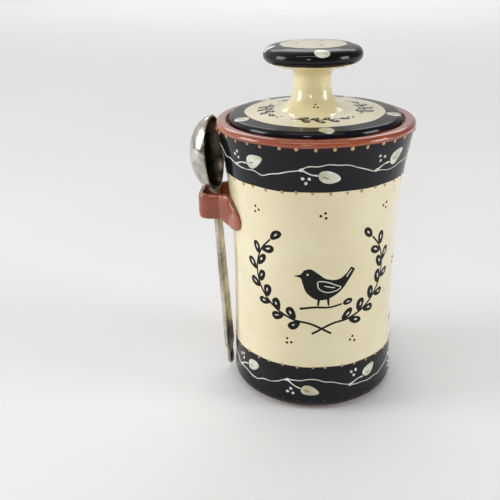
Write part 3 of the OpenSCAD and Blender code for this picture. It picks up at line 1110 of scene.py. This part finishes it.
def ring_of_spots(name, surface, radius, count, first, size, seed):
    """Evenly spaced pale spots on the black edge of a turned surface, the first of them at azimuth first."""
    spots = Relief()
    edge = float(surface.length_at_radius(radius))
    for number in range(count):
        place = surface.map_edge(first + 360 / count * number, edge)
        spots.blob(place, (0, 0), size, 0, 0.16, seed=f"{seed}{number}", round_fn=SPOT_ROUND_FN)
    spots.finish(name, "lid", "white_slip", LEAF_SLIP)


def make_lid_paint():
    top = LID.map_top()
    black, pale = Relief(), Relief()
    for number in range(LID_SPRIGS):
        middle = 360 / LID_SPRIGS * number - 90
        half = LID_SPRIG_TURN / 2
        stem = [turned((LID_SPRIG_R, 0), angle) for angle in np.linspace(middle - half, middle + half, 5)]
        sprig(
            black, pale, top, stem, LID_SPRIG_PAIRS, LID_LEAF_L, 0.8, LID_PAINT, seed=20 + number, plump=1.05
        )
        between = turned((LID_SPRIG_R, 0), middle + 180 / LID_SPRIGS)
        cluster(black, top, between, 1.15, 1.35, LID_PAINT, 40 + number)
    black.finish("lid_sprigs", "lid", "black_glaze", BRUSH_BLACK)
    pale.finish("lid_sprig_centres", "lid", "white_slip", WHITE_SLIP)
    ring_of_spots("lid_spots", LID, LID_SPOT_R, LID_SPOTS, 8, LID_SPOT, "s")


def make_knob_paint():
    ring_of_spots("knob_spots", KNOB, KNOB_SPOT_R, KNOB_SPOTS, 11, KNOB_SPOT, "k")
    dots = Relief()
    top = KNOB.map_top()
    for number in range(3):
        cluster(dots, top, turned((KNOB_DOTS_R, 0), 60 + 120 * number), 0.8, 1.1, 0.1, 60 + number)
    cluster(dots, KNOB.map_edge(8, KNOB.length_up(NECK_DOTS_Z)), (0, 0), 0.9, 1.1, 0.12, 70)
    dots.finish("knob_dots", "lid", "black_glaze", BRUSH_BLACK)


# ===== Stage, light and camera =====
FLOOR_HALF = 8.0
CAMERA_LENS = 54.72
CAMERA_AT = (0, -7.53, 4.66)


def make_floor():
    mesh = bpy.data.meshes.new("floor")
    corners = [(x * FLOOR_HALF, y * FLOOR_HALF, 0) for x, y in ((-1, -1), (1, -1), (1, 1), (-1, 1))]
    mesh.from_pydata(corners, [], [(0, 1, 2, 3)])
    floor = bpy.data.objects.new("floor", mesh)
    bpy.context.scene.collection.objects.link(floor)
    f = Finish("floor_paper", Specular_IOR_Level=0.2)
    colour = f.ramp(f.noise(3, 2), (0.3, (0.83, 0.83, 0.835)), (0.7, (0.85, 0.85, 0.853)))
    rough = f.ramp(f.noise(40, 2), (0.3, 0.75), (0.7, 0.85))
    mesh.materials.append(f.done(colour, rough, f.noise(800, 2), 0.02))


def lamp(name, at, target, size, watts):
    """A soft panel of light of size (width, height) in metres, facing target."""
    data = bpy.data.lights.new(name, "AREA")
    data.shape = "RECTANGLE"
    data.size, data.size_y = size
    data.energy = watts
    made = bpy.data.objects.new(name, data)
    made.location = at
    made.rotation_euler = (Vector(target) - Vector(at)).to_track_quat("-Z", "Y").to_euler()
    bpy.context.scene.collection.objects.link(made)


def dome(nodes, links, towards, start, end, amount, so_far):
    """Adds light to the sky from one side: none at start to amount at end, as cosines from that side."""
    aim = nodes.new("ShaderNodeVectorMath")
    aim.operation = "DOT_PRODUCT"
    aim.inputs[1].default_value = Vector(towards).normalized()
    links.new(nodes["Texture Coordinate"].outputs["Generated"], aim.inputs[0])
    fade = nodes.new("ShaderNodeMapRange")
    fade.interpolation_type = "SMOOTHSTEP"
    for socket, value in zip(("From Min", "From Max", "To Min", "To Max"), (start, end, 0, amount)):
        fade.inputs[socket].default_value = value
    links.new(aim.outputs["Value"], fade.inputs["Value"])
    if so_far is None:
        return fade.outputs["Result"]
    total = nodes.new("ShaderNodeMath")
    links.new(fade.outputs["Result"], total.inputs[0])
    links.new(so_far, total.inputs[1])
    return total.outputs[0]


def make_light():
    """A pale studio, brightest on the left and behind, and dim on the side the picture is taken from."""
    world = bpy.data.worlds.new("studio")
    world.use_nodes = True
    nodes, links = world.node_tree.nodes, world.node_tree.links
    nodes.new("ShaderNodeTexCoord")
    total = dome(nodes, links, (-0.9, 0.15, 0.4), -0.1, 0.95, 0.2, None)
    total = dome(nodes, links, (-0.4, 0.8, 0.35), 0.1, 0.95, 0.42, total)
    strength = nodes.new("ShaderNodeMath")
    links.new(total, strength.inputs[0])
    strength.inputs[1].default_value = 0.16
    sky = nodes["Background"]
    sky.inputs["Color"].default_value = (1, 0.995, 0.985, 1)
    links.new(strength.outputs[0], sky.inputs["Strength"])
    bpy.context.scene.world = world
    aim = (0, 0, 0.09)
    lamp("softbox_left", (-1.35, -0.25, 0.55), aim, (0.6, 0.8), 11)
    lamp("softbox_right", (1.35, -0.3, 0.5), aim, (0.55, 0.7), 9)
    lamp("window", (-0.25, -1.5, 0.75), aim, (0.25, 0.3), 2.4)
    lamp("overhead", (0, -0.5, 1.3), aim, (1.3, 0.16), 3)
    lamp("backdrop", (0, 2.6, 1.9), (0, 2.6, 0), (3.6, 1.6), 42)


def make_camera():
    """The fitted view, from the front and above: its place is in units of the lip's radius."""
    unit = RIM_R * MM
    yaw, pitch, roll = 0.09, 0.4013, -0.023
    ahead = Vector((-math.sin(yaw), math.cos(yaw), 0))
    right = Vector((math.cos(yaw), math.sin(yaw), 0))
    up = Vector((0, 0, 1))
    view = ahead * math.cos(pitch) - up * math.sin(pitch)
    lift = up * math.cos(pitch) + ahead * math.sin(pitch)
    level_right = right * math.cos(roll) + lift * math.sin(roll)
    level_up = -right * math.sin(roll) + lift * math.cos(roll)
    data = bpy.data.cameras.new("camera")
    data.lens = CAMERA_LENS
    data.sensor_width = 36
    camera = bpy.data.objects.new("camera", data)
    rotation = Matrix((level_right, level_up, -view)).transposed()
    camera.matrix_world = Matrix.Translation(Vector(CAMERA_AT) * unit) @ rotation.to_4x4()
    bpy.context.scene.collection.objects.link(camera)
    bpy.context.scene.camera = camera


make_camera()
make_crock()
make_lid()
make_loop()
make_bowl()
make_handle()
make_finial()
make_wreath()
make_bird()
make_clusters()
make_vine("upper_band", 136.0, 3.4, 8, 10.5, 6.3)
make_vine("lower_band", 16.2, 3.2, -2, 9.5, 6.8)
make_beads("lip_beads", 147.4, 37, 1.8)
make_beads("upper_edge_beads", 124.7, 37, 1.6)
make_beads("lower_edge_beads", 26.8, 35, 1.5)
make_beads("base_beads", 5.6, 36, 1.3)
make_lid_paint()
make_knob_paint()
make_floor()
make_light()
bpy.context.scene.view_settings.view_transform = "Standard"

bpy.context.view_layer.update()
